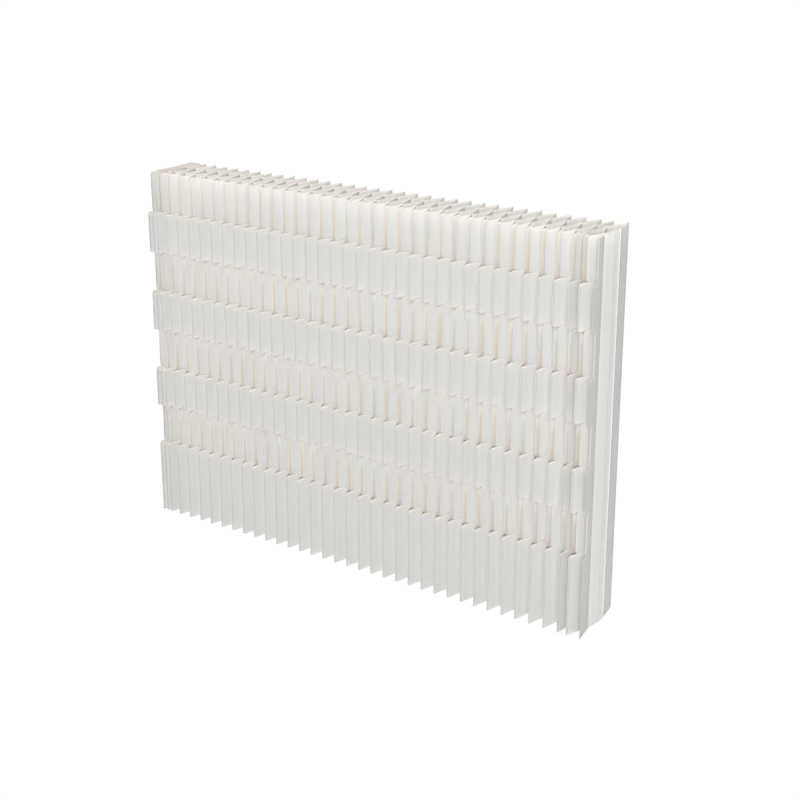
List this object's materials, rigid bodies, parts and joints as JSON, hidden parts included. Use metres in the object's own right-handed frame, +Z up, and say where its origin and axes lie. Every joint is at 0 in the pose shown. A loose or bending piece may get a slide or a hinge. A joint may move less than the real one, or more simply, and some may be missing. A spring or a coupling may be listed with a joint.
{
  "type": "pleated paper screen",
  "caption": "Free-standing accordion screen of zigzag paper sheets glued fold to fold, with slit front pleats folded inwards in every other band; it draws out and closes up.",
  "frame": {"origin": "centre of the screen's outline on the floor", "axes": "+X along the screen, to the right seen from the slit front; the front faces -Y; +Z up"},
  "size_m": [3, 0.43, 2.2],
  "materials": {
    "front_paper": "matt off-white paper, creased and slit",
    "middle_paper": "matt off-white paper, creased",
    "back_paper": "matt off-white paper, creased",
    "glue_line": "dried paper glue, dull cream"
  },
  "bodies": {
    "section_01": {"front_sheet_01": "front_paper", "middle_sheet_01": "middle_paper", "back_sheet_01": "back_paper", "front_glue_01": "glue_line", "back_glue_01": "glue_line"},
    "section_02": {"front_sheet_02": "front_paper", "middle_sheet_02": "middle_paper", "back_sheet_02": "back_paper", "front_glue_02": "glue_line", "back_glue_02": "glue_line"},
    "section_03": {"front_sheet_03": "front_paper", "middle_sheet_03": "middle_paper", "back_sheet_03": "back_paper", "front_glue_03": "glue_line", "back_glue_03": "glue_line"},
    "section_04": {"front_sheet_04": "front_paper", "middle_sheet_04": "middle_paper", "back_sheet_04": "back_paper", "front_glue_04": "glue_line", "back_glue_04": "glue_line"},
    "section_05": {"front_sheet_05": "front_paper", "middle_sheet_05": "middle_paper", "back_sheet_05": "back_paper", "front_glue_05": "glue_line", "back_glue_05": "glue_line"},
    "section_06": {"front_sheet_06": "front_paper", "middle_sheet_06": "middle_paper", "back_sheet_06": "back_paper", "front_glue_06": "glue_line", "back_glue_06": "glue_line"},
    "section_07": {"front_sheet_07": "front_paper", "middle_sheet_07": "middle_paper", "back_sheet_07": "back_paper", "front_glue_07": "glue_line", "back_glue_07": "glue_line"},
    "section_08": {"front_sheet_08": "front_paper", "middle_sheet_08": "middle_paper", "back_sheet_08": "back_paper", "front_glue_08": "glue_line", "back_glue_08": "glue_line"},
    "section_09": {"front_sheet_09": "front_paper", "middle_sheet_09": "middle_paper", "back_sheet_09": "back_paper", "front_glue_09": "glue_line", "back_glue_09": "glue_line"},
    "section_10": {"front_sheet_10": "front_paper", "middle_sheet_10": "middle_paper", "back_sheet_10": "back_paper", "front_glue_10": "glue_line", "back_glue_10": "glue_line"},
    "section_11": {"front_sheet_11": "front_paper", "middle_sheet_11": "middle_paper", "back_sheet_11": "back_paper", "front_glue_11": "glue_line", "back_glue_11": "glue_line"},
    "section_12": {"front_sheet_12": "front_paper", "middle_sheet_12": "middle_paper", "back_sheet_12": "back_paper", "front_glue_12": "glue_line", "back_glue_12": "glue_line"}
  },
  "joints": [
    {"name": "stretch", "type": "slide", "parent": "section_01", "child": "section_12", "axis": [1, 0, 0], "range_m": [-1, 0], "deforming": ["front_sheet_01", "middle_sheet_01", "back_sheet_01", "front_glue_01", "back_glue_01", "front_sheet_12", "middle_sheet_12", "back_sheet_12", "front_glue_12", "back_glue_12"]},
    {"name": "follow_11", "type": "slide", "parent": "section_01", "child": "section_11", "axis": [1, 0, 0], "range_m": [-0.86747, 0], "deforming": ["front_sheet_11", "middle_sheet_11", "back_sheet_11", "front_glue_11", "back_glue_11"]},
    {"name": "follow_10", "type": "slide", "parent": "section_01", "child": "section_10", "axis": [1, 0, 0], "range_m": [-0.78, 0], "deforming": ["front_sheet_10", "middle_sheet_10", "back_sheet_10", "front_glue_10", "back_glue_10"]},
    {"name": "follow_09", "type": "slide", "parent": "section_01", "child": "section_09", "axis": [1, 0, 0], "range_m": [-0.69252, 0], "deforming": ["front_sheet_09", "middle_sheet_09", "back_sheet_09", "front_glue_09", "back_glue_09"]},
    {"name": "follow_08", "type": "slide", "parent": "section_01", "child": "section_08", "axis": [1, 0, 0], "range_m": [-0.60505, 0], "deforming": ["front_sheet_08", "middle_sheet_08", "back_sheet_08", "front_glue_08", "back_glue_08"]},
    {"name": "follow_07", "type": "slide", "parent": "section_01", "child": "section_07", "axis": [1, 0, 0], "range_m": [-0.51757, 0], "deforming": ["front_sheet_07", "middle_sheet_07", "back_sheet_07", "front_glue_07", "back_glue_07"]},
    {"name": "follow_06", "type": "slide", "parent": "section_01", "child": "section_06", "axis": [1, 0, 0], "range_m": [-0.43009, 0], "deforming": ["front_sheet_06", "middle_sheet_06", "back_sheet_06", "front_glue_06", "back_glue_06"]},
    {"name": "follow_05", "type": "slide", "parent": "section_01", "child": "section_05", "axis": [1, 0, 0], "range_m": [-0.34262, 0], "deforming": ["front_sheet_05", "middle_sheet_05", "back_sheet_05", "front_glue_05", "back_glue_05"]},
    {"name": "follow_04", "type": "slide", "parent": "section_01", "child": "section_04", "axis": [1, 0, 0], "range_m": [-0.25514, 0], "deforming": ["front_sheet_04", "middle_sheet_04", "back_sheet_04", "front_glue_04", "back_glue_04"]},
    {"name": "follow_03", "type": "slide", "parent": "section_01", "child": "section_03", "axis": [1, 0, 0], "range_m": [-0.16766, 0], "deforming": ["front_sheet_03", "middle_sheet_03", "back_sheet_03", "front_glue_03", "back_glue_03"]},
    {"name": "follow_02", "type": "slide", "parent": "section_01", "child": "section_02", "axis": [1, 0, 0], "range_m": [-0.08128, 0], "deforming": ["front_sheet_02", "middle_sheet_02", "back_sheet_02", "front_glue_02", "back_glue_02"]}
  ],
  "couplings": [
    {"joint": "follow_11", "follows": "stretch", "ratio": 0.86747},
    {"joint": "follow_10", "follows": "stretch", "ratio": 0.78},
    {"joint": "follow_09", "follows": "stretch", "ratio": 0.69252},
    {"joint": "follow_08", "follows": "stretch", "ratio": 0.60504},
    {"joint": "follow_07", "follows": "stretch", "ratio": 0.51757},
    {"joint": "follow_06", "follows": "stretch", "ratio": 0.43009},
    {"joint": "follow_05", "follows": "stretch", "ratio": 0.34262},
    {"joint": "follow_04", "follows": "stretch", "ratio": 0.25514},
    {"joint": "follow_03", "follows": "stretch", "ratio": 0.16766},
    {"joint": "follow_02", "follows": "stretch", "ratio": 0.08128}
  ]
}
